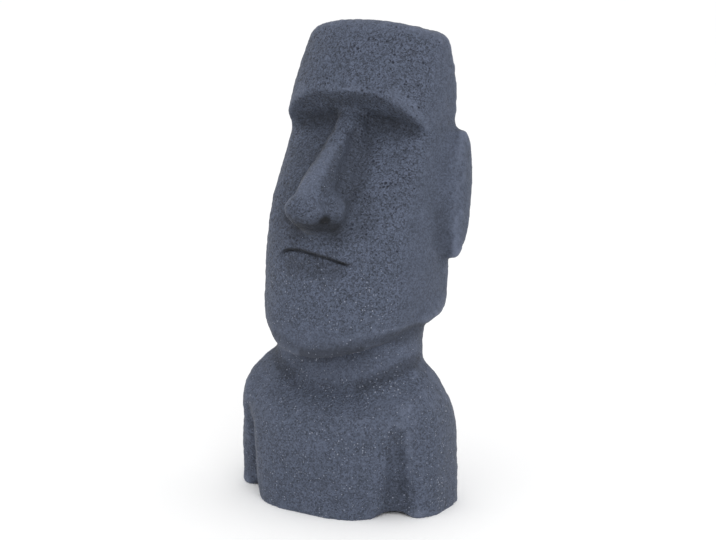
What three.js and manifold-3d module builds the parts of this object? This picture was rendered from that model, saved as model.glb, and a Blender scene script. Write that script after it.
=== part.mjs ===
// Moai statue for a garden: head, neck and cut-off shoulders, cast in one piece.
// Millimetres, +Z up. The face looks along -Y and the statue's left side is +X.
// The origin is on the flat underside, below the middle of the neck.

import * as THREE from "three";
import { LoftGeometry } from "three/addons/geometries/LoftGeometry.js";
import { mergeVertices } from "three/addons/utils/BufferGeometryUtils.js";
import Module from "manifold-3d";

const wasm = await Module();
wasm.setup();

// Each station is one level of a form: its height above the ground, its half width,
// the Y of its front and back, the Y where it is widest, and how square its front corners are.
const FACE_STATIONS = [
  { level: 183, half: 102, front: -95, back: 75, widest: 43, square: 2.4 },
  { level: 245, half: 108, front: -80, back: 68, widest: 40, square: 2.3 },
  { level: 300, half: 110, front: -73, back: 65, widest: 39, square: 2.2 },
  { level: 350, half: 108, front: -53, back: 74, widest: 49, square: 2.35 },
  { level: 400, half: 103, front: -13, back: 90, widest: 65, square: 3.1 },
  { level: 441, half: 101, front: 22, back: 92, widest: 71, square: 3.7 },
  { level: 500, half: 84, front: 42, back: 80, widest: 72, square: 3.4 },
];
const CRANIUM_STATIONS = [
  { level: 424, half: 97, front: -30, back: 88, widest: 69, square: 2.55 },
  { level: 446, half: 101, front: -24, back: 93, widest: 71, square: 2.55 },
  { level: 472, half: 101, front: -13, back: 94, widest: 73, square: 2.38 },
  { level: 515, half: 97, front: 6, back: 93, widest: 77, square: 2.25 },
  { level: 560, half: 88, front: 27, back: 93, widest: 80, square: 2.25 },
];
// The whole body, then the arms and the chest that its lower part is carved down to.
const BODY_STATIONS = [
  { level: 0, half: 136, front: -97, back: 82, widest: -4, square: 2.3 },
  { level: 60, half: 135, front: -96, back: 80, widest: -4, square: 1.95 },
  { level: 95, half: 133, front: -92, back: 80, widest: -4, square: 1.9 },
  { level: 112, half: 130, front: -84, back: 76, widest: -3, square: 2.2 },
  { level: 126, half: 127, front: -68, back: 65, widest: -1, square: 2.9 },
  { level: 140, half: 122, front: -49, back: 54, widest: 0, square: 3.6 },
  { level: 157, half: 110, front: -23, back: 48, widest: 4, square: 3.6 },
  { level: 169, half: 90, front: 0, back: 46, widest: 14, square: 2.8 },
];
const ARM_STATIONS = [
  { level: 0, half: 134, front: -51, back: 120, widest: -4, square: 3.5 },
  { level: 60, half: 135, front: -55, back: 120, widest: -4, square: 3.4 },
  { level: 90, half: 138, front: -64, back: 120, widest: -4, square: 3.2 },
  { level: 110, half: 144, front: -84, back: 120, widest: -4, square: 3 },
  { level: 130, half: 150, front: -115, back: 120, widest: -4, square: 3 },
  { level: 169, half: 150, front: -115, back: 120, widest: -4, square: 3 },
];
const CHEST_STATIONS = [
  { level: 0, half: 90, front: -95, back: 40, widest: -10, square: 2.9 },
  { level: 25, half: 97, front: -95, back: 40, widest: -10, square: 2.8 },
  { level: 60, half: 99, front: -95, back: 40, widest: -10, square: 2.8 },
  { level: 95, half: 100, front: -95, back: 40, widest: -10, square: 2.8 },
  { level: 130, half: 102, front: -100, back: 40, widest: -10, square: 2.8 },
];
const NECK_STATIONS = [
  { level: 100, half: 106, front: -66, back: 68, widest: 6, square: 2.4 },
  { level: 135, half: 97, front: -51, back: 60, widest: 6, square: 2.4 },
  { level: 165, half: 93, front: -44, back: 58, widest: 6, square: 2.4 },
  { level: 250, half: 95, front: -44, back: 63, widest: 6, square: 2.4 },
];
const NOSE_STATIONS = [
  { level: 322, half: 26, front: -68, back: -20, widest: -46, square: 2.6 },
  { level: 333, half: 29, front: -90, back: -20, widest: -42, square: 2.6 },
  { level: 350, half: 32, front: -100, back: -10, widest: -36, square: 2.8 },
  { level: 368, half: 33, front: -95, back: 0, widest: -26, square: 3 },
  { level: 386, half: 32, front: -74, back: 20, widest: -14, square: 3.2 },
  { level: 406, half: 29, front: -45, back: 30, widest: 0, square: 3.4 },
  { level: 427, half: 26, front: -21, back: 40, widest: 14, square: 3.4 },
  { level: 441, half: 24, front: -5, back: 45, widest: 26, square: 3.4 },
  { level: 454, half: 25, front: 8, back: 50, widest: 32, square: 3.2 },
  { level: 470, half: 26, front: 26, back: 55, widest: 40, square: 3 },
];
// How much of its width the nose keeps at its ridge, so that its side walls slope.
const NOSE_RIDGE_SHARE = 0.6;

// How square the corners at the back of each form are.
const HEAD_BACK_SQUARE = 3.75;
const BODY_BACK_SQUARE = 3;
const NECK_BACK_SQUARE = 2.4;
const NOSE_BACK_SQUARE = 2;

// Jaw: rounded edge, rounded lower corners seen from the front, and a rise towards the ears.
const JAW_EDGE_ROUND = 11;
const JAW_CORNER_DROP = 46;
const JAW_CORNER_HEIGHT = 40;
const JAW_RISE = 0.14;
const JAW_RISE_TOP = 330;

// Crown: rounded rim, a dome across and a fall to the back.
const CROWN_RIM_ROUND = 9;
const CROWN_DOME = 13;
const CROWN_FALL = 0.125;

// Brow: one arch across the face whose underside slopes back into the eye hollows.
const BROW_LEVEL = 484;
const BROW_END_X = 90;
const BROW_END_DROP = 50;
const BROW_ARCH_POWER = 3;
const BROW_UNDERSIDE_SLOPE = 1.05;
const BROW_ARCH_SIDE_X = 104;
const BROW_ARCH_FRONT_Y = -60;
const BROW_ARCH_BACK_Y = 70;
const BROW_ARCH_FLOOR = 300;

// Nose tip, nose wings and nostrils, each an ellipsoid.
const NOSE_TIP = { x: 0, y: -84, z: 352, wide: 23, deep: 19, tall: 19 };
const NOSE_WING = { x: 24, y: -61, z: 349, wide: 14, deep: 20, tall: 18 };
const NOSTRIL = { x: 21, y: -80, z: 338, wide: 6, deep: 9, tall: 8 };

// Mouth: a thin groove that turns down at the corners.
const MOUTH_LEVEL = 305;
const MOUTH_HALF = 47;
const MOUTH_DROP = 12;
const MOUTH_BEND_POWER = 1.7;
const MOUTH_GROOVE_RADIUS = 2.5;

// Ears: long slabs on the sides of the head, leaning back.
const EAR_LOW = 288;
const EAR_HIGH = 434;
const EAR_LOW_Y = 42;
const EAR_HIGH_Y = 78;
const EAR_HALF_LENGTH = 28;
const EAR_STAND = 20;
const EAR_ROOT = 20;
const EAR_END_STAND = 4;
const EAR_SQUARE = 2.9;

// Fineness of the facets: points round an outline and levels up each form.
const BODY_SIDES = 54;
const NOSE_SIDES = 24;
const EAR_SIDES = 20;
const FACE_LEVELS = 19;
const CRANIUM_LEVELS = 10;
const NOSE_LEVELS = 14;
const EAR_LEVELS = 14;
const BODY_LEVELS = 13;
const ARM_LEVELS = 12;
const CHEST_LEVELS = 8;
const NECK_LEVELS = 5;
const BALL_SIDES = 14;
const BALL_LEVELS = 9;
const ROUND_STEPS = 4;
const CURVE_STEPS = 24;

function smoothStep(fraction) {
  return THREE.MathUtils.smoothstep(fraction, 0, 1);
}

// A smooth run through the stations, read by level.
function sectionsThrough(stations) {
  const levels = stations.map((station) => station.level);
  const sizes = stations.flatMap((s) => [s.half, s.front, s.back, s.widest, s.square]);
  const curve = new THREE.CubicInterpolant(levels, sizes, 5);
  return (level) => {
    const [half, front, back, widest, square] = curve.evaluate(level);
    return { half, front, back, widest, square };
  };
}

// One closed outline, counter-clockwise seen from above, drawn in by an inset.
function outline(section, { sides, backSquare, inset = 0, middleX = 0, frontShare = 1 }, heightAt) {
  const points = [];
  for (let i = 0; i < sides; i += 1) {
    const angle = (2 * Math.PI * i) / sides;
    const across = Math.cos(angle);
    const along = Math.sin(angle);
    const square = along < 0 ? section.square : backSquare;
    const reach = (Math.abs(across) ** square + Math.abs(along) ** square) ** (-1 / square);
    const depth = along < 0 ? section.widest - section.front : section.back - section.widest;
    const forward = Math.max(0, -reach * along);
    const width = (section.half - inset) * THREE.MathUtils.lerp(1, frontShare, forward);
    const x = middleX + width * reach * across;
    const y = section.widest + (depth - inset) * reach * along;
    points.push(new THREE.Vector3(x, y, heightAt(x, y)));
  }
  return points;
}

// Levels from low to high with the inset of a rounded lower and upper edge.
function roundedLevels(low, high, lowRound, highRound, count) {
  const levels = [];
  for (let i = 0; i < ROUND_STEPS && lowRound > 0; i += 1) {
    const turn = (i / ROUND_STEPS) * (Math.PI / 2);
    const level = low + lowRound * (1 - Math.cos(turn));
    levels.push({ level, inset: lowRound * (1 - Math.sin(turn)) });
  }
  for (let i = 0; i <= count; i += 1) {
    const level = THREE.MathUtils.lerp(low + lowRound, high - highRound, i / count);
    levels.push({ level, inset: 0 });
  }
  for (let i = 1; i <= ROUND_STEPS && highRound > 0; i += 1) {
    const turn = (i / ROUND_STEPS) * (Math.PI / 2);
    const level = high - highRound * (1 - Math.sin(turn));
    levels.push({ level, inset: highRound * (1 - Math.cos(turn)) });
  }
  return levels;
}

function solidOf(geometry) {
  const bare = new THREE.BufferGeometry();
  bare.setAttribute("position", geometry.attributes.position);
  bare.setIndex(geometry.index);
  const merged = mergeVertices(bare);
  const vertProperties = new Float32Array(merged.attributes.position.array);
  const triVerts = new Uint32Array(merged.index.array);
  return new wasm.Manifold(new wasm.Mesh({ numProp: 3, vertProperties, triVerts }));
}

function loftSolid(rings) {
  return solidOf(new LoftGeometry(rings, { closed: true, capStart: true, capEnd: true }));
}

// A form lofted from its lowest to its highest station.
function stationSolid(stations, { count, lowRound = 0, highRound = 0, narrow, lift, ...shape }) {
  const sectionAt = sectionsThrough(stations);
  const low = stations[0].level;
  const high = stations[stations.length - 1].level;
  const rings = roundedLevels(low, high, lowRound, highRound, count).map(({ level, inset }) => {
    const section = sectionAt(level);
    section.half -= narrow ? narrow(level) : 0;
    return outline(section, { ...shape, inset }, (x, y) => (lift ? lift(x, y, level) : level));
  });
  return loftSolid(rings);
}

// The Y of a section's front surface at a given X.
function frontAt({ half, front, widest, square }, x) {
  const share = Math.max(0, 1 - (Math.abs(x) / half) ** square);
  return widest - (widest - front) * share ** (1 / square);
}

function ellipsoid({ x, y, z, wide, deep, tall }, side = 1) {
  const geometry = new THREE.SphereGeometry(1, BALL_SIDES, BALL_LEVELS);
  geometry.scale(wide, deep, tall);
  geometry.translate(x * side, y, z);
  return solidOf(geometry);
}

// The face from the jaw up into the eye hollows.
function face() {
  const jaw = FACE_STATIONS[0];
  const narrow = (level) => {
    const below = Math.max(0, 1 - (level - jaw.level) / JAW_CORNER_HEIGHT);
    return JAW_CORNER_DROP * (1 - Math.sqrt(1 - below ** 2));
  };
  const lift = (x, y, level) => {
    const share = 1 - smoothStep((level - jaw.level) / (JAW_RISE_TOP - jaw.level));
    return level + JAW_RISE * share * (y - jaw.front);
  };
  return stationSolid(FACE_STATIONS, {
    sides: BODY_SIDES,
    backSquare: HEAD_BACK_SQUARE,
    count: FACE_LEVELS,
    lowRound: JAW_EDGE_ROUND,
    narrow,
    lift,
  });
}

// Forehead, temples and back of the head, hollowed by the arch under the brow.
function cranium() {
  const brow = CRANIUM_STATIONS[2];
  const crown = CRANIUM_STATIONS[CRANIUM_STATIONS.length - 1];
  const lift = (x, y, level) => {
    const share = smoothStep((level - brow.level) / (crown.level - brow.level));
    const fall = CROWN_FALL * (y - crown.front) + CROWN_DOME * (x / crown.half) ** 2;
    return level - share * fall;
  };
  const block = stationSolid(CRANIUM_STATIONS, {
    sides: BODY_SIDES,
    backSquare: HEAD_BACK_SQUARE,
    count: CRANIUM_LEVELS,
    highRound: CROWN_RIM_ROUND,
    lift,
  });
  return block.subtract(browArch(brow));
}

// What is cleared away below the brow: an arch whose roof slopes down towards the back.
function browArch(brow) {
  const arch = new THREE.Shape();
  arch.moveTo(BROW_ARCH_SIDE_X, BROW_ARCH_FLOOR);
  for (let i = 0; i <= CURVE_STEPS; i += 1) {
    const x = THREE.MathUtils.lerp(BROW_ARCH_SIDE_X, -BROW_ARCH_SIDE_X, i / CURVE_STEPS);
    arch.lineTo(x, BROW_LEVEL - BROW_END_DROP * (Math.abs(x) / BROW_END_X) ** BROW_ARCH_POWER);
  }
  arch.lineTo(-BROW_ARCH_SIDE_X, BROW_ARCH_FLOOR);
  const depth = BROW_ARCH_BACK_Y - BROW_ARCH_FRONT_Y;
  const geometry = new THREE.ExtrudeGeometry(arch, { depth, bevelEnabled: false });
  geometry.rotateX(Math.PI / 2);
  geometry.translate(0, BROW_ARCH_BACK_Y, 0);
  const position = geometry.attributes.position;
  for (let i = 0; i < position.count; i += 1) {
    const behindBrow = position.getY(i) - frontAt(brow, position.getX(i));
    position.setZ(i, position.getZ(i) - BROW_UNDERSIDE_SLOPE * behindBrow);
  }
  return solidOf(geometry);
}

function nose() {
  const shape = { backSquare: NOSE_BACK_SQUARE, frontShare: NOSE_RIDGE_SHARE };
  let solid = stationSolid(NOSE_STATIONS, { sides: NOSE_SIDES, count: NOSE_LEVELS, ...shape });
  solid = solid.add(ellipsoid(NOSE_TIP));
  for (const side of [-1, 1]) {
    solid = solid.add(ellipsoid(NOSE_WING, side));
  }
  return solid;
}

function nostril(side) {
  return ellipsoid(NOSTRIL, side);
}

// The groove follows the front of the face across the mouth.
function mouthGroove() {
  const sectionAt = sectionsThrough(FACE_STATIONS);
  const points = [];
  for (let i = 0; i <= CURVE_STEPS; i += 1) {
    const x = THREE.MathUtils.lerp(-MOUTH_HALF, MOUTH_HALF, i / CURVE_STEPS);
    const z = MOUTH_LEVEL - MOUTH_DROP * (Math.abs(x) / MOUTH_HALF) ** MOUTH_BEND_POWER;
    points.push(new THREE.Vector3(x, frontAt(sectionAt(z), x), z));
  }
  const groove = new THREE.Shape().absarc(0, 0, MOUTH_GROOVE_RADIUS, 0, 2 * Math.PI, false);
  const path = new THREE.CatmullRomCurve3(points);
  const options = { steps: CURVE_STEPS, curveSegments: ROUND_STEPS, extrudePath: path };
  return solidOf(new THREE.ExtrudeGeometry(groove, options));
}

function ear(side) {
  const sectionAt = sectionsThrough(FACE_STATIONS);
  const rings = [];
  for (let i = 0; i <= EAR_LEVELS; i += 1) {
    const share = 0.5 - 0.5 * Math.cos((Math.PI * i) / EAR_LEVELS);
    const level = THREE.MathUtils.lerp(EAR_LOW, EAR_HIGH, share);
    const swell = (1 - Math.abs(2 * share - 1) ** EAR_SQUARE) ** (1 / EAR_SQUARE);
    const middle = THREE.MathUtils.lerp(EAR_LOW_Y, EAR_HIGH_Y, share);
    const reach = Math.max(1, EAR_HALF_LENGTH * swell);
    const half = EAR_ROOT + THREE.MathUtils.lerp(EAR_END_STAND, EAR_STAND, swell);
    const ends = { front: middle - reach, back: middle + reach, widest: middle };
    const section = { half, ...ends, square: EAR_SQUARE };
    const rootX = side * (sectionAt(level).half - EAR_ROOT);
    const shape = { sides: EAR_SIDES, backSquare: EAR_SQUARE, middleX: rootX };
    rings.push(outline(section, shape, () => level));
  }
  return loftSolid(rings);
}

// The body narrows to chest and arms below the shoulders, with a groove between them.
function body() {
  const sides = BODY_SIDES;
  const neck = stationSolid(NECK_STATIONS, { sides, backSquare: NECK_BACK_SQUARE, count: NECK_LEVELS });
  const whole = stationSolid(BODY_STATIONS, { sides, backSquare: BODY_BACK_SQUARE, count: BODY_LEVELS });
  const arms = stationSolid(ARM_STATIONS, { sides, backSquare: BODY_BACK_SQUARE, count: ARM_LEVELS });
  const chest = stationSolid(CHEST_STATIONS, { sides, backSquare: NECK_BACK_SQUARE, count: CHEST_LEVELS });
  return whole.intersect(arms.add(chest)).add(neck);
}

function statueGeometry() {
  let solid = face().add(cranium()).add(nose());
  for (const side of [-1, 1]) {
    solid = solid.add(ear(side)).subtract(nostril(side));
  }
  solid = solid.subtract(mouthGroove()).add(body());
  const mesh = solid.getMesh();
  const geometry = new THREE.BufferGeometry();
  geometry.setAttribute("position", new THREE.BufferAttribute(new Float32Array(mesh.vertProperties), 3));
  geometry.setIndex(new THREE.BufferAttribute(new Uint32Array(mesh.triVerts), 1));
  geometry.computeVertexNormals();
  return geometry;
}

const castStone = new THREE.MeshStandardMaterial({ color: "#535967", roughness: 0.9, metalness: 0 });
const statue = new THREE.Mesh(statueGeometry(), castStone);
statue.name = "moai_statue";

const part = new THREE.Group();
part.name = "moai";
part.add(statue);

export default part;
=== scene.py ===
import math

import bpy
import numpy as np
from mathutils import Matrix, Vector
from mathutils.bvhtree import BVHTree


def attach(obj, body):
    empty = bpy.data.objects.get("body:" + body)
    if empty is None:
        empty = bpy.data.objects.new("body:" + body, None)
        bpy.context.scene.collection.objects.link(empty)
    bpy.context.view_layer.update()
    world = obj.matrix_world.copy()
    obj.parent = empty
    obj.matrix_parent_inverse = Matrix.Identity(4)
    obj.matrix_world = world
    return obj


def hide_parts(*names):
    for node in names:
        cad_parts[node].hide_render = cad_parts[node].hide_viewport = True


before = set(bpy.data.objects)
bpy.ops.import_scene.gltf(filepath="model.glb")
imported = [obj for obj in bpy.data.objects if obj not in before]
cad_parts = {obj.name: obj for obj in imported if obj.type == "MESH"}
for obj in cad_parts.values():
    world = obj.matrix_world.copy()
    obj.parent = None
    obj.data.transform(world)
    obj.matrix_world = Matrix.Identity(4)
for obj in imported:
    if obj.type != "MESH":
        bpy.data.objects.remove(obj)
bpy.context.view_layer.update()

# Garden statue of a moai, cast in one piece: head, neck and cut-off shoulders.
# Metres, +Z up. The face looks along -Y and the statue's left side is +X.

# Skin: the size of its faces, and the passes of smoothing that take the solid's facets off it.
SKIN_EDGE = 0.0029
FACET_PASSES = 4
# How far one pass smooths, the least weight that is smoothed, and how near two places are the same.
SMOOTHING = 0.5
LEAST_WEIGHT = 0.01
SAME_PLACE = 0.00001
# Underside: skin lower than the edge is set on the ground, and faces within the angle are joined.
UNDERSIDE_EDGE = 0.0012
UNDERSIDE_ANGLE = math.radians(1)

# Mouth line: a lopsided curve that turns down at the corners, long on the statue's left and
# short on its right, with the lower lip set back under it. Drops are those at the corners.
MOUTH_LEVEL = 0.304
MOUTH_PEAK_X = -0.02
MOUTH_HALF = 0.0505
MOUTH_LEFT_DROP = 0.012
MOUTH_LEFT_BEND = 1.4
MOUTH_RIGHT_DROP = 0.009
MOUTH_RIGHT_BEND = 2.8
MOUTH_CUT_DEPTH = 0.0016
MOUTH_CUT_HALF = 0.004
MOUTH_CUT_BEND = 0.8
LIP_STEP = 0.0045
LIP_STEP_FADE = 0.018
LIP_SWELL = 0.0018
LIP_SWELL_FADE = 0.007
LIP_EDGE_TOP = 0.0012
LIP_EDGE_FOOT = -0.0025
# Ends of the cut and of the lips, in half widths of the mouth: where each is gone and where it is full.
MOUTH_CUT_ENDS = (1.15, 0.5)
LIP_ENDS = (1.06, 0.72)

# Lines and points on the statue's left side or its middle, which the right side mirrors.
BROW_BELOW = [(0, 0.002, 0.468), (0.036, 0, 0.4705), (0.067, 0.008, 0.4575), (0.078, 0.016, 0.446)]
BROW_END = [(0.0625, 0.001, 0.477), (0.078, 0.007, 0.464), (0.0865, 0.012, 0.452)]
EYE_CREASE = [(0.026, 0.024, 0.4457), (0.042, 0.024, 0.4445), (0.056, 0.0238, 0.4415)]
EYE_CORNER = [EYE_CREASE[-1], (0.0785, 0.025, 0.435)]
TEMPLE = (0.097, 0.045, 0.442)
NOSE_ROOT = (0, 0.012, 0.457)
NOSE_RIDGE = [(0, -0.035, 0.414), (0, -0.05, 0.402), (0, -0.085, 0.374)]
NOSE_EDGE = [(0.0145, -0.0275, 0.415), (0.0165, -0.0445, 0.4), (0.018, -0.0605, 0.3855),
             (0.0185, -0.071, 0.3745)]
NOSE_WALL = [(0.016, -0.006, 0.431), (0.0205, -0.023, 0.41), (0.0235, -0.041, 0.392),
             (0.027, -0.052, 0.376)]
NOSE_FOOT = [(0.02, 0.012, 0.44), (0.0245, -0.008, 0.413), (0.027, -0.026, 0.393),
             (0.03, -0.041, 0.369), (0.036, -0.054, 0.35), (0.033, -0.062, 0.335)]
NOSE_SIDE = NOSE_FOOT[:3] + [(0.031, -0.04, 0.372)]
NOSE_CHEEK = [(0.05, -0.038, 0.362), (0.054, -0.045, 0.346), (0.052, -0.05, 0.328)]
NOSE_BALL = (0.018, -0.09, 0.355)
NOSE_TIP = (0, -0.1, 0.348)
NOSE_END = (0, -0.075, 0.346)
NOSE_BELOW = [(0, -0.094, 0.334), (0.013, -0.084, 0.333), (0.027, -0.069, 0.332)]
NOSTRIL = (0.0208, -0.0785, 0.3425)
LIP_BELOW = [(0, -0.076, 0.288), (0.028, -0.073, 0.286)]
CHEEK_SIDE = [(0.0816, -0.0236, 0.355), (0.0786, -0.0345, 0.333)]
EAR_FRONT = [(0.112, 0.022, 0.3), (0.112, 0.028, 0.36), (0.104, 0.05, 0.425)]
LOBE_FRONT = [(0.1083, 0.029, 0.34), (0.1107, 0.0275, 0.33), (0.114, 0.026, 0.313), (0.116, 0.03, 0.295)]
LOBE_HOLLOW = [(0.115, 0.027, 0.312), (0.1165, 0.032, 0.295)]
LOBE_END = (0.121, 0.042, 0.296)
JAW_CORNER = [(0.1005, 0.014, 0.221), (0.1025, 0.032, 0.228)]
JAW_EDGE = [(0, -0.092, 0.188), (0.033, -0.0865, 0.193), (0.06, -0.067, 0.199),
            (0.081, -0.035, 0.205), (0.097, 0.008, 0.2125)]
NECK = [(0, -0.052, 0.163), (0.04, -0.047, 0.166), (0.07, -0.033, 0.177), (0.091, -0.005, 0.185)]
COLLAR = [(0, -0.0535, 0.139), (0.03, -0.051, 0.142), (0.046, -0.044, 0.147),
          (0.0765, -0.028, 0.161), (0.091, -0.009, 0.168)]
COLLAR_SIDE = [(0.062, -0.04, 0.148), (0.078, -0.03, 0.152), (0.09, -0.012, 0.16)]
COLLAR_CREASE = [(0.047, -0.045, 0.1466), (0.0688, -0.037, 0.1561), (0.0815, -0.025, 0.1646),
                 (0.0888, -0.0149, 0.1704), (0.0933, 0.0049, 0.1736)]
SHOULDER_RIM = [(0.094, 0.0075, 0.167), (0.1, 0.0095, 0.163), (0.111, 0.0095, 0.156),
                (0.119, 0.014, 0.144), (0.1246, 0.018, 0.13)]
SHOULDER_TOP = [(0.0846, -0.0522, 0.1328), (0.0987, -0.043, 0.1386)]
SHOULDER_FRONT = [(0.1108, -0.0487, 0.105), (0.109, -0.0468, 0.128)]
GROOVE_FOOT = [(0.096, -0.047, -0.02), (0.0985, -0.048, 0.035)]
GROOVE_TOP = [GROOVE_FOOT[-1], (0.1025, -0.057, 0.1)]
ARM_FOOT = (0.118, -0.037, 0)

# Lines that start on the statue's right side and have no mirrored twin, where the photograph
# shows the two sides unlike.
# These paint shade and highlight that fall unlike on the two sides.
RIGHT_NOSE_RIM = [(-0.019, -0.088, 0.364), (-0.019, -0.093, 0.3575), (-0.018, -0.095, 0.35)]
RIGHT_NOSE_UNDER = [(-0.0118, -0.1, 0.3475), (-0.0109, -0.0992, 0.3453), (-0.0083, -0.0981, 0.342),
                    (-0.003, -0.094, 0.336)]
RIGHT_NOSE_SHADE = [(-0.0493, -0.0516, 0.3365), (-0.0438, -0.0547, 0.334), (-0.0385, -0.0575, 0.3314),
                    (-0.0313, -0.0611, 0.3286), (-0.026, -0.063, 0.3259)]
RIGHT_CHEEK = [(-0.045, 0.014, 0.43), (-0.045, -0.004, 0.408), (-0.048, -0.021, 0.386),
               (-0.05, -0.041, 0.3565), (-0.05, -0.057, 0.3215)]
RIGHT_NECK = [(-0.0373, -0.0418, 0.171), (-0.041, -0.0471, 0.1425)]
RIGHT_ARM = [(-0.1125, -0.046, 0.1), (-0.11, -0.044, 0.03)]
CHIN_EDGE = [(-0.0005, -0.0914, 0.1897), (0.0155, -0.0904, 0.1895), (0.0323, -0.0853, 0.192),
             (0.0468, -0.0769, 0.1945), (0.0589, -0.0644, 0.196)]
CHIN_SHADE = [RIGHT_NECK[0], (-0.0153, -0.0434, 0.172), (0.0055, -0.0436, 0.1745)]

# Joins that are rounded: round which point or line, by how many passes, and how far they reach.
# The smoothing is full within a share of the reach.
SOFT_JOINS = [
    (TEMPLE, 20, 0.035),
    (EAR_FRONT, 28, 0.022),
    (NOSE_FOOT, 6, 0.012),
    (NOSE_ROOT, 10, 0.025),
    (NOSE_END, 2, 0.06),
    (NOSTRIL, 50, 0.022),
    (NOSE_BELOW, 6, 0.018),
]
SOFT_CORE = 0.35
# Joins that are bands: where each band starts and where it is full, and its passes.
COLLAR_BAND_FOOT = (0.095, 0.125)
COLLAR_BAND_TOP = (0.183, 0.172)
COLLAR_PASSES = 6
ARMPIT_SIDE = (0.07, 0.09)
ARMPIT_FRONT = (-0.015, -0.035)
ARMPIT_TOP = (0.15, 0.11)
ARMPIT_PASSES = 30
MOUTH_BAND_LEVEL = MOUTH_LEVEL - 0.005
MOUTH_BAND_HALF = (0.02, 0.014)
MOUTH_BAND_ENDS = (0.065, 0.055)
MOUTH_BAND_PASSES = 20

# Part of the skin that has smaller faces: the face, and a strip along the mouth.
FINE_HALF = 0.09
FINE_BACK = 0.035
FINE_FOOT = 0.275
FINE_TOP = 0.48
FINE_MIDDLE = 0.05
FINE_TURN = -0.1
FINE_PASSES = 2
FINE_MOUTH_HALF = 0.008
FINE_MOUTH_PAST = 0.006

# Where the skin swells out or is dented: at which point or line, how far it reaches and how much.
SWELLS = [
    (NOSE_BALL, 0.022, 0.0035),
    (JAW_CORNER, 0.028, 0.005),
    (LOBE_END, 0.016, 0.002),
    (CHEEK_SIDE, 0.028, 0.0022),
    (SHOULDER_FRONT, 0.026, 0.0028),
    (ARM_FOOT, 0.02, 0.004),
]
DENTS = [
    (NOSE_WALL, 0.013, 0.004),
    (LOBE_HOLLOW, 0.02, 0.004),
    (GROOVE_FOOT, 0.034, 0.004),
    (GROOVE_TOP, 0.015, 0.004),
]
# The shoulder is built up beside the neck.
COLLAR_REACH = 0.024
COLLAR_RISE = 0.008
# Unevenness of the cast skin: the size of its lumps and their height.
LUMPS = [("broad lumps", 0.03, 0.0014), ("small lumps", 0.007, 0.0015)]

# Painted shade, in part a dark wash, where the skin lies in shade: along which line, how far it reaches and
# how dense it is.
# A stroke is full within a share of its reach.
SHADE_AND_WASH_STROKES = [
    (NOSE_SIDE, 0.024, 0.4),
    (NOSE_WALL, 0.014, 0.45),
    (NOSE_EDGE, 0.0125, 0.38),
    (NOSE_FOOT, 0.011, 0.4),
    (NOSE_BELOW, 0.018, 0.8),
    (NOSE_BELOW, 0.03, 0.48),
    (NOSE_BELOW, 0.042, 0.22),
    (NOSE_TIP, 0.024, 0.22),
    (NOSE_CHEEK, 0.018, 0.25),
    (NOSTRIL, 0.014, 1.0),
    (RIGHT_NOSE_UNDER, 0.008, 0.5),
    (RIGHT_NOSE_SHADE, 0.007, 0.6),
    (RIGHT_CHEEK, 0.03, 0.2),
    (RIGHT_NECK, 0.014, 0.2),
    (RIGHT_ARM, 0.025, 0.12),
    (JAW_EDGE, 0.016, 0.38),
    (CHIN_EDGE, 0.012, 0.7),
    (CHIN_SHADE, 0.007, 0.32),
    (COLLAR, 0.012, 0.1),
    (COLLAR_CREASE, 0.012, 0.42),
    (BROW_BELOW, 0.016, 0.32),
    (EYE_CREASE, 0.03, 0.36),
    (EYE_CREASE, 0.009, 0.5),
    (EYE_CORNER, 0.013, 0.32),
    (LIP_BELOW, 0.02, 0.35),
    (LOBE_FRONT, 0.015, 0.22),
    (GROOVE_FOOT, 0.026, 0.2),
    (GROOVE_TOP, 0.015, 0.15),
]
# Painted highlights, in part wear that has rubbed the skin paler, in the same way.
HIGHLIGHT_AND_WEAR_STROKES = [
    (NOSE_RIDGE, 0.018, 0.42),
    (BROW_END, 0.014, 0.4),
    (NECK, 0.024, 0.25),
    (SHOULDER_RIM, 0.007, 0.5),
    (SHOULDER_TOP, 0.022, 0.2),
    (RIGHT_NOSE_RIM, 0.006, 0.9),
]
STROKE_CORE = 0.3
# Painted shade in the mouth line: how dense, how far under the line, where it is gone and where it is
# full above and below, and the same towards its ends in half widths of the mouth.
MOUTH_SHADE = 0.65
MOUTH_SHADE_DROP = 0.0008
MOUTH_SHADE_HALF = (0.0042, 0.0012)
MOUTH_SHADE_ENDS = (1.15, 0.75)
# Proud edges get wear and painted highlight where smoothing sinks the skin: how far it sinks where this
# starts and is full.
PROUD_PASSES = 30
PROUD_SINKS = (-0.0001, -0.0016)
# The crown has a painted highlight on top.
CROWN_HIGHLIGHT = 0.35
CROWN_TOP = (0.54, 0.553)

# Zones of the finish: where each starts and where it is full.
FRONT_TURN = (-0.15, -0.55)
FRONT_SIDE = (0.102, 0.085)
FACE_FOOT = (0.19, 0.25)
BODY_TOP = (0.21, 0.18)
NECK_FOOT = (0.125, 0.145)
NECK_TOP = (0.2, 0.185)
NOSE_CLEAR = (0.02, 0.035)
PITS_FOOT = (0.2, 0.34)
GRIT_TOP = (0.37, 0.26)
# The back is plainer: the share of the finish that it keeps, and the turns of the skin, backward
# as positive, between which the whole finish comes in.
BACK_SHARE = 0.3
BACK_TURN = (0.6, -0.1)
# How coarse, pitted and gritty the skin is everywhere, and what a zone adds or takes.
COARSE = 0.55
COARSE_FACE = 0.5
COARSE_BODY = 0.35
PITS = 0.25
PITS_BODY = 0.2
PITS_FACE = 0.75
PITS_OFF_NOSE = 0.65
GRIT = 0.2
GRIT_LOW = 0.8
GRIT_NECK = 0.12
GRIT_NOSE = 0.5

# Hollows are found by rays from each point of the skin: how far, how many, and from how high.
# Each ray turns on from the last by the golden angle, and the slant sets where the first one lies.
HOLLOW_REACH = 0.07
CREASE_REACH = 0.025
HOLLOW_RAYS = 24
RAY_START = 0.001
GOLDEN_TURN = math.pi * (3 - math.sqrt(5))
SLANT = (0.36, 0.48, 0.8)

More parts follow.
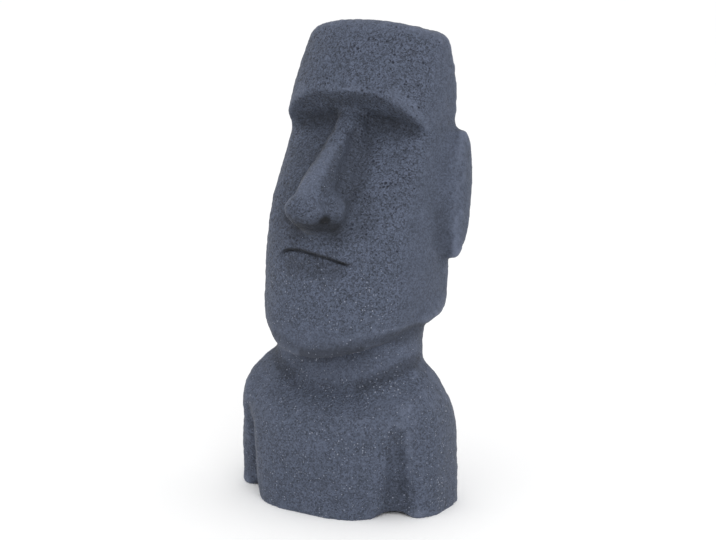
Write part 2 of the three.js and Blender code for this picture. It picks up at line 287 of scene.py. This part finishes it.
# Stone in real sizes. Sand in the mix is about half a millimetre; it is drawn coarser so that it shows.
SAND_SIZE = 0.0015
CLUMP_SIZE = 0.003
BLOTCH_SIZE = 0.025
RAGGED_SIZE = 0.003
RAGGED_PUSH = 0.0018
RELIEF = 0.001
# Pits and grit: their spacing, radius, and the share of the cells that have one.
WIDE_PITS = (0.0055, 0.0024, 0.55)
FINE_PITS = (0.003, 0.0014, 0.6)
GRIT_DOTS = (0.003, 0.0012, 0.65)
DOT_CORE = 0.4
# Patches of pits and grit: between which tones of the blotches, and how few or many there are.
PATCH_TONES = (0.35, 0.65)
PATCH_FEW = 0.6
PATCH_MANY = 1.1
# Dark wash and painted shade in a hollow: how closed in it starts and is full, how dense it is then, and what
# a crease adds.
SHADE_AND_WASH_FROM = 0.06
SHADE_AND_WASH_TO = 0.6
SHADE_AND_WASH_HOLLOW = 0.3
SHADE_AND_WASH_CREASE = 0.5
# How far each coat covers the stone: wear with painted highlights, dark wash with painted shade, and the
# painted shade in the pits; and how high grit stands beside a clump.
HIGHLIGHT_AND_WEAR_COVER = 0.6
SHADE_AND_WASH_COVER = 1.0
PIT_SHADE_COVER = 0.85
GRIT_COVER = 0.9
GRIT_RISE = 0.4

# Studio: the floor, the even light all round, and one soft lamp at the front left of the statue.
FLOOR_SIZE = 60
ROOM_LIGHT = 1.03
LAMP_PLACE = (1.8, -1.8, 1.9)
LAMP_AIM = Vector((0, 0, 0.3))
LAMP_SIZE = 1.6
LAMP_POWER = 20

# Photograph's camera: where it looks, from how far, and at what angle.
CAMERA_TARGET = Vector((0.0235, -0.0113, 0.2747))
CAMERA_AZIMUTH = 31.66
CAMERA_ELEVATION = 11.67
CAMERA_DISTANCE = 1.8686
CAMERA_LENS = 81.55
CAMERA_SENSOR = 36


def linear(hex_colour):
    """An sRGB hex colour as linear RGBA."""
    parts = [int(hex_colour[i : i + 2], 16) / 255 for i in (1, 3, 5)]
    return [c / 12.92 if c <= 0.04045 else ((c + 0.055) / 1.055) ** 2.4 for c in parts] + [1.0]


def pick(obj):
    """Makes obj the only selected object and the active one."""
    bpy.ops.object.select_all(action="DESELECT")
    obj.select_set(True)
    bpy.context.view_layer.objects.active = obj


def rows(items, what):
    """One vector of each vertex or face, as an array of rows."""
    flat = np.empty(len(items) * 3, np.float32)
    items.foreach_get(what, flat)
    return flat.reshape(-1, 3).astype(float)


def set_places(mesh, spots):
    """Moves the mesh's vertices to the spots."""
    mesh.vertices.foreach_set("co", spots.astype(np.float32).ravel())
    mesh.update()


def ramp(values, start, end):
    """0 at start and 1 at end, easing in and out."""
    share = np.clip((values - start) / (end - start), 0, 1)
    return share * share * (3 - 2 * share)


def one_side(spots):
    """The spots folded onto the statue's left half, so that one side's shape serves both."""
    return np.abs(spots) * (1, 0, 0) + spots * (0, 1, 1)


def distance(spots, line):
    """Each spot's distance from a point, or from a line through several. A line that starts on the
    statue's left serves both sides, and one that starts on its right is used as it is."""
    places = one_side(spots) if np.ravel(line)[0] >= 0 else spots
    if np.ndim(line) == 1:
        return np.linalg.norm(places - line, axis=1)
    best = np.full(len(spots), np.inf)
    for start, end in zip(line[:-1], line[1:]):
        along = np.subtract(end, start)
        share = np.clip((places - start) @ along / (along @ along), 0, 1)
        best = np.minimum(best, np.linalg.norm(places - start - share[:, None] * along, axis=1))
    return best


def raw_casting():
    """The body's solid as an even skin of small faces."""
    statue = bpy.data.objects.new("moai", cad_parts["moai_statue"].data.copy())
    bpy.context.scene.collection.objects.link(statue)
    pick(statue)
    bpy.ops.object.mode_set(mode="EDIT")
    bpy.ops.mesh.select_all(action="SELECT")
    bpy.ops.mesh.remove_doubles(threshold=SAME_PLACE)
    bpy.ops.object.mode_set(mode="OBJECT")
    bpy.ops.object.modifier_add(type="REMESH")
    skin = statue.modifiers[-1]
    skin.mode = "VOXEL"
    skin.voxel_size = SKIN_EDGE
    bpy.ops.object.modifier_apply(modifier=skin.name)
    return statue


def soften(statue, passes, weights=None):
    """Smooths the skin, where weights are given only there."""
    bpy.ops.object.modifier_add(type="SMOOTH")
    smooth = statue.modifiers[-1]
    smooth.factor = SMOOTHING
    smooth.iterations = passes
    if weights is not None:
        group = statue.vertex_groups.new(name="softened")
        for index in np.flatnonzero(weights > LEAST_WEIGHT):
            group.add([int(index)], float(weights[index]), "REPLACE")
        smooth.vertex_group = group.name
    bpy.ops.object.modifier_apply(modifier=smooth.name)
    statue.vertex_groups.clear()


def soften_joins(statue):
    """Rounds the places where one form runs into another."""
    x, y, z = one_side(rows(statue.data.vertices, "co")).T
    soften(statue, COLLAR_PASSES, ramp(z, *COLLAR_BAND_FOOT) * ramp(z, *COLLAR_BAND_TOP))
    armpit = ramp(x, *ARMPIT_SIDE) * ramp(y, *ARMPIT_FRONT) * ramp(z, *ARMPIT_TOP)
    soften(statue, ARMPIT_PASSES, armpit)
    for line, passes, reach in SOFT_JOINS:
        off_line = distance(rows(statue.data.vertices, "co"), line)
        soften(statue, passes, ramp(off_line, reach, reach * SOFT_CORE))
    mouth = ramp(np.abs(z - MOUTH_BAND_LEVEL), *MOUTH_BAND_HALF) * ramp(x, *MOUTH_BAND_ENDS) * (y < 0)
    soften(statue, MOUTH_BAND_PASSES, mouth)


def choose_faces(statue, chosen):
    """Enters edit mode with only the chosen faces selected."""
    bpy.ops.object.mode_set(mode="EDIT")
    bpy.ops.mesh.select_mode(type="FACE")
    bpy.ops.mesh.select_all(action="DESELECT")
    bpy.ops.object.mode_set(mode="OBJECT")
    statue.data.polygons.foreach_set("select", chosen)
    bpy.ops.object.mode_set(mode="EDIT")


def refine(statue, chosen):
    """Splits each chosen face in four."""
    choose_faces(statue, chosen)
    bpy.ops.mesh.subdivide(number_cuts=1)
    bpy.ops.object.mode_set(mode="OBJECT")


def fine_face(statue):
    """Smaller faces where the face is carved, and smaller again along the mouth."""
    x, y, z = one_side(rows(statue.data.polygons, "center")).T
    front = (rows(statue.data.polygons, "normal")[:, 1] < FINE_TURN) | (x < FINE_MIDDLE)
    refine(statue, (x < FINE_HALF) & (y < FINE_BACK) & (z > FINE_FOOT) & (z < FINE_TOP) & front)
    soften(statue, FINE_PASSES)
    x, y, z = rows(statue.data.polygons, "center").T
    near = (np.abs(z - mouth_height(x)) < FINE_MOUTH_HALF) & (np.abs(x) < MOUTH_HALF + FINE_MOUTH_PAST)
    refine(statue, near & (y < 0))


def press(statue, line, reach, depth, way=None):
    """Moves the skin round a point or a line straight in, out where depth is negative, or along a
    given way instead."""
    spots = rows(statue.data.vertices, "co")
    inward = -rows(statue.data.vertices, "normal") if way is None else np.array([way])
    share = ramp(distance(spots, line), reach, 0)
    set_places(statue.data, spots + inward * (depth * share)[:, None])


def mouth_height(x):
    """Height of the mouth line at each x."""
    left = np.maximum(x - MOUTH_PEAK_X, 0) / (MOUTH_HALF - MOUTH_PEAK_X)
    right = np.maximum(MOUTH_PEAK_X - x, 0) / (MOUTH_HALF + MOUTH_PEAK_X)
    return MOUTH_LEVEL - MOUTH_LEFT_DROP * left**MOUTH_LEFT_BEND - MOUTH_RIGHT_DROP * right**MOUTH_RIGHT_BEND


def carve_mouth(statue):
    """The closed mouth: a thin cut, a full upper lip and a lower lip set back under it."""
    spots = rows(statue.data.vertices, "co")
    above = spots[:, 2] - mouth_height(spots[:, 0])
    across = np.abs(spots[:, 0]) / MOUTH_HALF
    front = spots[:, 1] < 0
    lips = ramp(across, *LIP_ENDS) * front
    cut = MOUTH_CUT_DEPTH * np.clip(1 - np.abs(above) / MOUTH_CUT_HALF, 0, 1) ** MOUTH_CUT_BEND
    cut *= ramp(across, *MOUTH_CUT_ENDS) * front
    lower = ramp(above, LIP_EDGE_TOP, LIP_EDGE_FOOT) * lips
    upper = ramp(above, LIP_EDGE_FOOT, LIP_EDGE_TOP) * lips
    step = LIP_STEP * np.exp(np.minimum(above, 0) / LIP_STEP_FADE) * lower
    swell = LIP_SWELL * np.exp(-np.maximum(above, 0) / LIP_SWELL_FADE) * upper
    spots[:, 1] += cut + step - swell
    set_places(statue.data, spots)


def weather(statue, name, size, height):
    """Makes the cast skin uneven, with lumps of the given size."""
    lumps = bpy.data.textures.new(name, "CLOUDS")
    lumps.noise_scale = size
    lumps.noise_depth = 1
    bpy.ops.object.modifier_add(type="DISPLACE")
    push = statue.modifiers[-1]
    push.texture = lumps
    push.texture_coords = "LOCAL"
    push.strength = height
    push.mid_level = 0.5
    bpy.ops.object.modifier_apply(modifier=push.name)


def flat_underside(statue):
    """Sets the underside flat on the ground and joins its faces."""
    spots = rows(statue.data.vertices, "co")
    spots[:, 2] = np.where(spots[:, 2] < UNDERSIDE_EDGE, 0, spots[:, 2])
    set_places(statue.data, spots)
    centres = rows(statue.data.polygons, "center")
    choose_faces(statue, centres[:, 2] < SAME_PLACE)
    bpy.ops.mesh.dissolve_limited(angle_limit=UNDERSIDE_ANGLE)
    bpy.ops.object.mode_set(mode="OBJECT")


def carved_statue():
    """The statue's shape: softened, carved, weathered and set flat on the ground."""
    statue = raw_casting()
    soften(statue, FACET_PASSES)
    soften_joins(statue)
    fine_face(statue)
    for line, reach, rise in SWELLS:
        press(statue, line, reach, -rise)
    for line, reach, depth in DENTS:
        press(statue, line, reach, depth)
    press(statue, COLLAR_SIDE, COLLAR_REACH, COLLAR_RISE, (0, 0, 1))
    carve_mouth(statue)
    for name, size, height in LUMPS:
        weather(statue, name, size, height)
    flat_underside(statue)
    return statue


def hollows(statue):
    """How closed in each point of the skin is, by its rays that meet the statue: widely and closely."""
    spots = rows(statue.data.vertices, "co")
    facing = rows(statue.data.vertices, "normal")
    side = np.cross(facing, SLANT)
    side /= np.linalg.norm(side, axis=1)[:, None]
    other = np.cross(facing, side)
    skin = BVHTree.FromObject(statue, bpy.context.evaluated_depsgraph_get())
    starts = (spots + facing * RAY_START).tolist()
    wide = np.zeros(len(spots))
    close = np.zeros(len(spots))
    for ray in range(HOLLOW_RAYS):
        rise = (ray + 0.5) / HOLLOW_RAYS
        turn = ray * GOLDEN_TURN
        level = side * math.cos(turn) + other * math.sin(turn)
        ways = facing * math.sqrt(rise) + level * math.sqrt(1 - rise)
        for index, way in enumerate(ways.tolist()):
            reached = skin.ray_cast(starts[index], way, HOLLOW_REACH)[3]
            if reached is not None:
                wide[index] += 1 - reached / HOLLOW_REACH
                close[index] += max(0, 1 - reached / CREASE_REACH)
    return wide / HOLLOW_RAYS, close / HOLLOW_RAYS


def proud_edges(statue):
    """Where the skin stands proud of its surroundings, found by smoothing it and going back."""
    spots = rows(statue.data.vertices, "co")
    facing = rows(statue.data.vertices, "normal")
    soften(statue, PROUD_PASSES)
    sunk = ((rows(statue.data.vertices, "co") - spots) * facing).sum(axis=1)
    set_places(statue.data, spots)
    return ramp(sunk, *PROUD_SINKS)


def mouth_shade(spots):
    """How dense the painted shade is along the mouth line."""
    x, y, z = spots.T
    off_line = np.abs(z - mouth_height(x) + MOUTH_SHADE_DROP)
    ends = ramp(np.abs(x) / MOUTH_HALF, *MOUTH_SHADE_ENDS)
    return MOUTH_SHADE * ramp(off_line, *MOUTH_SHADE_HALF) * ends * (y < 0)


def painted(spots, ground, strokes):
    """The densest of the strokes at each spot, or the ground where that is denser."""
    for line, reach, density in strokes:
        ground = np.maximum(ground, density * ramp(distance(spots, line), reach, reach * STROKE_CORE))
    return ground


def paint_zones(statue):
    """Values on the mesh that the stone reads: hollows, painted shade with some dark wash, wear with painted
    highlights, and where pits and grit show.
    """
    spots = rows(statue.data.vertices, "co")
    x, _, z = one_side(spots).T
    backward = rows(statue.data.vertices, "normal")[:, 1]
    front = ramp(backward, *FRONT_TURN) * ramp(x, *FRONT_SIDE)
    face = front * ramp(z, *FACE_FOOT)
    seen = BACK_SHARE + (1 - BACK_SHARE) * ramp(backward, *BACK_TURN)
    body = seen * ramp(z, *BODY_TOP)
    neck = seen * ramp(z, *NECK_FOOT) * ramp(z, *NECK_TOP)
    nose = 1 - ramp(distance(spots, NOSE_RIDGE), *NOSE_CLEAR)
    high_pits = PITS_FACE * face * ramp(z, *PITS_FOOT) * (1 - PITS_OFF_NOSE * nose)
    low_grit = GRIT_LOW * np.maximum(front, body) * ramp(z, *GRIT_TOP)
    hollow, crease = hollows(statue)
    proud = np.maximum(proud_edges(statue), CROWN_HIGHLIGHT * ramp(z, *CROWN_TOP))
    zones = {
        "hollow": hollow,
        "crease": crease,
        "stroke_shade_and_wash": painted(spots, mouth_shade(spots), SHADE_AND_WASH_STROKES),
        "wear_and_highlight": painted(spots, proud, HIGHLIGHT_AND_WEAR_STROKES),
        "coarse": COARSE + COARSE_FACE * face + COARSE_BODY * body,
        "pitted": PITS + PITS_BODY * body + high_pits,
        "gritty": GRIT + low_grit + GRIT_NECK * neck + GRIT_NOSE * nose,
    }
    for name, values in zones.items():
        layer = statue.data.attributes.new(name, "FLOAT", "POINT")
        layer.data.foreach_set("value", values.astype(np.float32))


def add_node(tree, kind, links=None, output=0, **settings):
    """Adds a node and gives one output; links maps an input to an output or to a plain value."""
    node = tree.nodes.new(kind)
    for name, value in settings.items():
        setattr(node, name, value)
    for socket, source in (links or {}).items():
        if isinstance(source, bpy.types.NodeSocket):
            tree.links.new(source, node.inputs[socket])
        else:
            node.inputs[socket].default_value = source
    return node.outputs[output]


def dots(tree, spots, sizes, amount):
    """Round dots of mixed sizes in a share of the cells: 1 inside a dot and 0 outside."""
    spacing, radius, share = sizes
    edge = add_node(tree, "ShaderNodeTexVoronoi", {"Vector": spots, "Scale": 1 / spacing})
    luck = add_node(tree, "ShaderNodeSeparateColor", {"Color": edge.node.outputs["Color"]})
    size = add_node(tree, "ShaderNodeMapRange", {0: luck, 1: 1 - share, 2: 1.0, 3: 0.0, 4: radius / spacing})
    size = add_node(tree, "ShaderNodeMath", {0: size, 1: amount}, operation="MULTIPLY")
    inner = add_node(tree, "ShaderNodeMath", {0: size, 1: DOT_CORE}, operation="MULTIPLY")
    return add_node(tree, "ShaderNodeMapRange", {0: edge, 1: inner, 2: size, 3: 1.0, 4: 0.0},
                    interpolation_type="SMOOTHSTEP")


def cast_stone():
    """Moulded cast stone, stained: matte blue-grey with sand grain, open pits on the face darkened with
    painted shade, pale grit, a dark wash and painted shade in the hollows and along lines, and paler wear
    with painted highlights."""
    material = bpy.data.materials.new("cast_stone")
    material.use_nodes = True
    tree = material.node_tree
    shader = tree.nodes["Principled BSDF"]

    spots = add_node(tree, "ShaderNodeTexCoord", output="Object")
    hollow, crease, stroke_shade_and_wash, wear_and_highlight, coarse, pitted, gritty = [
        add_node(tree, "ShaderNodeAttribute", output="Fac", attribute_name=name)
        for name in ("hollow", "crease", "stroke_shade_and_wash", "wear_and_highlight", "coarse", "pitted", "gritty")
    ]

    # Grains of sand, clumps of them, and wide blotches of stain.
    sand = add_node(tree, "ShaderNodeTexVoronoi", {"Vector": spots, "Scale": 1 / SAND_SIZE}, output="Color")
    sand = add_node(tree, "ShaderNodeSeparateColor", {"Color": sand})
    clump = add_node(tree, "ShaderNodeTexNoise", {"Vector": spots, "Scale": 1 / CLUMP_SIZE, "Detail": 2.0})
    blotch = add_node(tree, "ShaderNodeTexNoise", {"Vector": spots, "Scale": 1 / BLOTCH_SIZE, "Detail": 3.0})

    # Pits and grit are pushed off round by a fine noise.
    ragged = add_node(tree, "ShaderNodeTexNoise", {"Vector": spots, "Scale": 1 / RAGGED_SIZE}, output="Color")
    ragged = add_node(tree, "ShaderNodeVectorMath", {0: ragged, 1: (RAGGED_PUSH,) * 3, 2: spots},
                      operation="MULTIPLY_ADD")
    # Both come in patches: pits where the stain is pale, and grit where it is dark.
    darkest, palest = PATCH_TONES
    patched = []
    for amount, in_dark, in_pale in [(pitted, PATCH_FEW, PATCH_MANY), (gritty, PATCH_MANY, PATCH_FEW)]:
        patch = add_node(tree, "ShaderNodeMapRange",
                         {0: blotch, 1: darkest, 2: palest, 3: in_dark, 4: in_pale})
        patched.append(add_node(tree, "ShaderNodeMath", {0: amount, 1: patch}, operation="MULTIPLY"))
    pitted, gritty = patched
    wide_pits = dots(tree, ragged, WIDE_PITS, pitted)
    fine_pits = dots(tree, ragged, FINE_PITS, pitted)
    pits = add_node(tree, "ShaderNodeMath", {0: wide_pits, 1: fine_pits}, operation="MAXIMUM")
    grit = dots(tree, ragged, GRIT_DOTS, gritty)

    # The dark wash and painted shade in the hollows and creases, and the painted shade along lines.
    shade_and_wash = add_node(tree, "ShaderNodeMapRange",
                    {0: hollow, 1: SHADE_AND_WASH_FROM, 2: SHADE_AND_WASH_TO, 3: 0.0, 4: SHADE_AND_WASH_HOLLOW})
    shade_and_wash = add_node(tree, "ShaderNodeMath", {0: crease, 1: SHADE_AND_WASH_CREASE, 2: shade_and_wash}, operation="MULTIPLY_ADD")
    shade_and_wash = add_node(tree, "ShaderNodeMath", {0: shade_and_wash, 1: stroke_shade_and_wash}, operation="ADD", use_clamp=True)

    # Colour: blotched stone, made darker and lighter by each grain.
    stone = add_node(tree, "ShaderNodeMix", {0: blotch, 6: linear("#3c4351"), 7: linear("#4b5263")}, 2,
                     data_type="RGBA")
    tone = add_node(tree, "ShaderNodeMath", {0: sand, 1: clump}, operation="ADD")
    tone = add_node(tree, "ShaderNodeMath", {0: tone, 1: 1.0}, operation="SUBTRACT")
    tone = add_node(tree, "ShaderNodeMath", {0: tone, 1: coarse, 2: 1.0}, operation="MULTIPLY_ADD")
    stone = add_node(tree, "ShaderNodeMix", {0: 1.0, 6: stone, 7: tone}, 2,
                     data_type="RGBA", blend_type="MULTIPLY")
    # Over it lie paler wear with painted highlights, the dark wash with painted shade, pits darkened with
    # painted shade, and pale grit, in that order.
    coats = [
        (wear_and_highlight, HIGHLIGHT_AND_WEAR_COVER, "#6a7286"),
        (shade_and_wash, SHADE_AND_WASH_COVER, "#101319"),
        (pits, PIT_SHADE_COVER, "#151a27"),
        (grit, GRIT_COVER, "#8d93a3"),
    ]
    for where, cover, colour in coats:
        coat = add_node(tree, "ShaderNodeMath", {0: where, 1: cover}, operation="MULTIPLY")
        stone = add_node(tree, "ShaderNodeMix", {0: coat, 6: stone, 7: linear(colour)}, 2, data_type="RGBA")

    # Relief: clumps and grit stand up, pits go in by about a millimetre.
    relief = add_node(tree, "ShaderNodeMath", {0: clump, 1: pits}, operation="SUBTRACT")
    relief = add_node(tree, "ShaderNodeMath", {0: grit, 1: GRIT_RISE, 2: relief}, operation="MULTIPLY_ADD")
    relief = add_node(tree, "ShaderNodeBump", {"Height": relief, "Distance": RELIEF, "Strength": 0.8})
    tree.links.new(stone, shader.inputs["Base Color"])
    tree.links.new(relief, shader.inputs["Normal"])
    shader.inputs["Roughness"].default_value = 0.8
    shader.inputs["Specular IOR Level"].default_value = 0.35
    # Fine dust on the skin pales it where it turns away from the eye.
    shader.inputs["Sheen Weight"].default_value = 0.05
    shader.inputs["Sheen Roughness"].default_value = 0.4
    return material


def pale_floor():
    """A wide sheet of white paper."""
    bpy.ops.object.select_all(action="DESELECT")
    bpy.ops.mesh.primitive_plane_add(size=FLOOR_SIZE)
    floor = bpy.context.object
    floor.name = "floor"
    material = bpy.data.materials.new("white_paper")
    material.use_nodes = True
    shader = material.node_tree.nodes["Principled BSDF"]
    shader.inputs["Base Color"].default_value = linear("#fefefe")
    shader.inputs["Roughness"].default_value = 0.9
    floor.data.materials.append(material)


def studio_light():
    """Even white light all round, and one soft lamp."""
    world = bpy.data.worlds.new("studio")
    bpy.context.scene.world = world
    world.use_nodes = True
    room = world.node_tree.nodes["Background"]
    room.inputs["Color"].default_value = (1, 1, 1, 1)
    room.inputs["Strength"].default_value = ROOM_LIGHT
    bpy.ops.object.light_add(type="AREA", location=LAMP_PLACE)
    lamp = bpy.context.object
    lamp.data.size = LAMP_SIZE
    lamp.data.energy = LAMP_POWER
    lamp.rotation_euler = (LAMP_AIM - lamp.location).to_track_quat("-Z", "Y").to_euler()


def photograph_camera():
    """The camera that took the photograph, as fitted to the statue's outline."""
    azimuth = math.radians(CAMERA_AZIMUTH)
    elevation = math.radians(CAMERA_ELEVATION)
    level = math.cos(elevation)
    back = Vector((math.sin(azimuth) * level, -math.cos(azimuth) * level, math.sin(elevation)))
    bpy.ops.object.camera_add(location=CAMERA_TARGET + CAMERA_DISTANCE * back)
    camera = bpy.context.object
    camera.rotation_euler = (-back).to_track_quat("-Z", "Y").to_euler()
    camera.data.lens = CAMERA_LENS
    camera.data.sensor_width = CAMERA_SENSOR
    bpy.context.scene.camera = camera


moai = carved_statue()
paint_zones(moai)
moai.data.materials.clear()
moai.data.materials.append(cast_stone())
pick(moai)
bpy.ops.object.shade_smooth()
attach(moai, "root")
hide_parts("moai_statue")

pale_floor()
studio_light()
photograph_camera()
bpy.context.scene.view_settings.view_transform = "Standard"
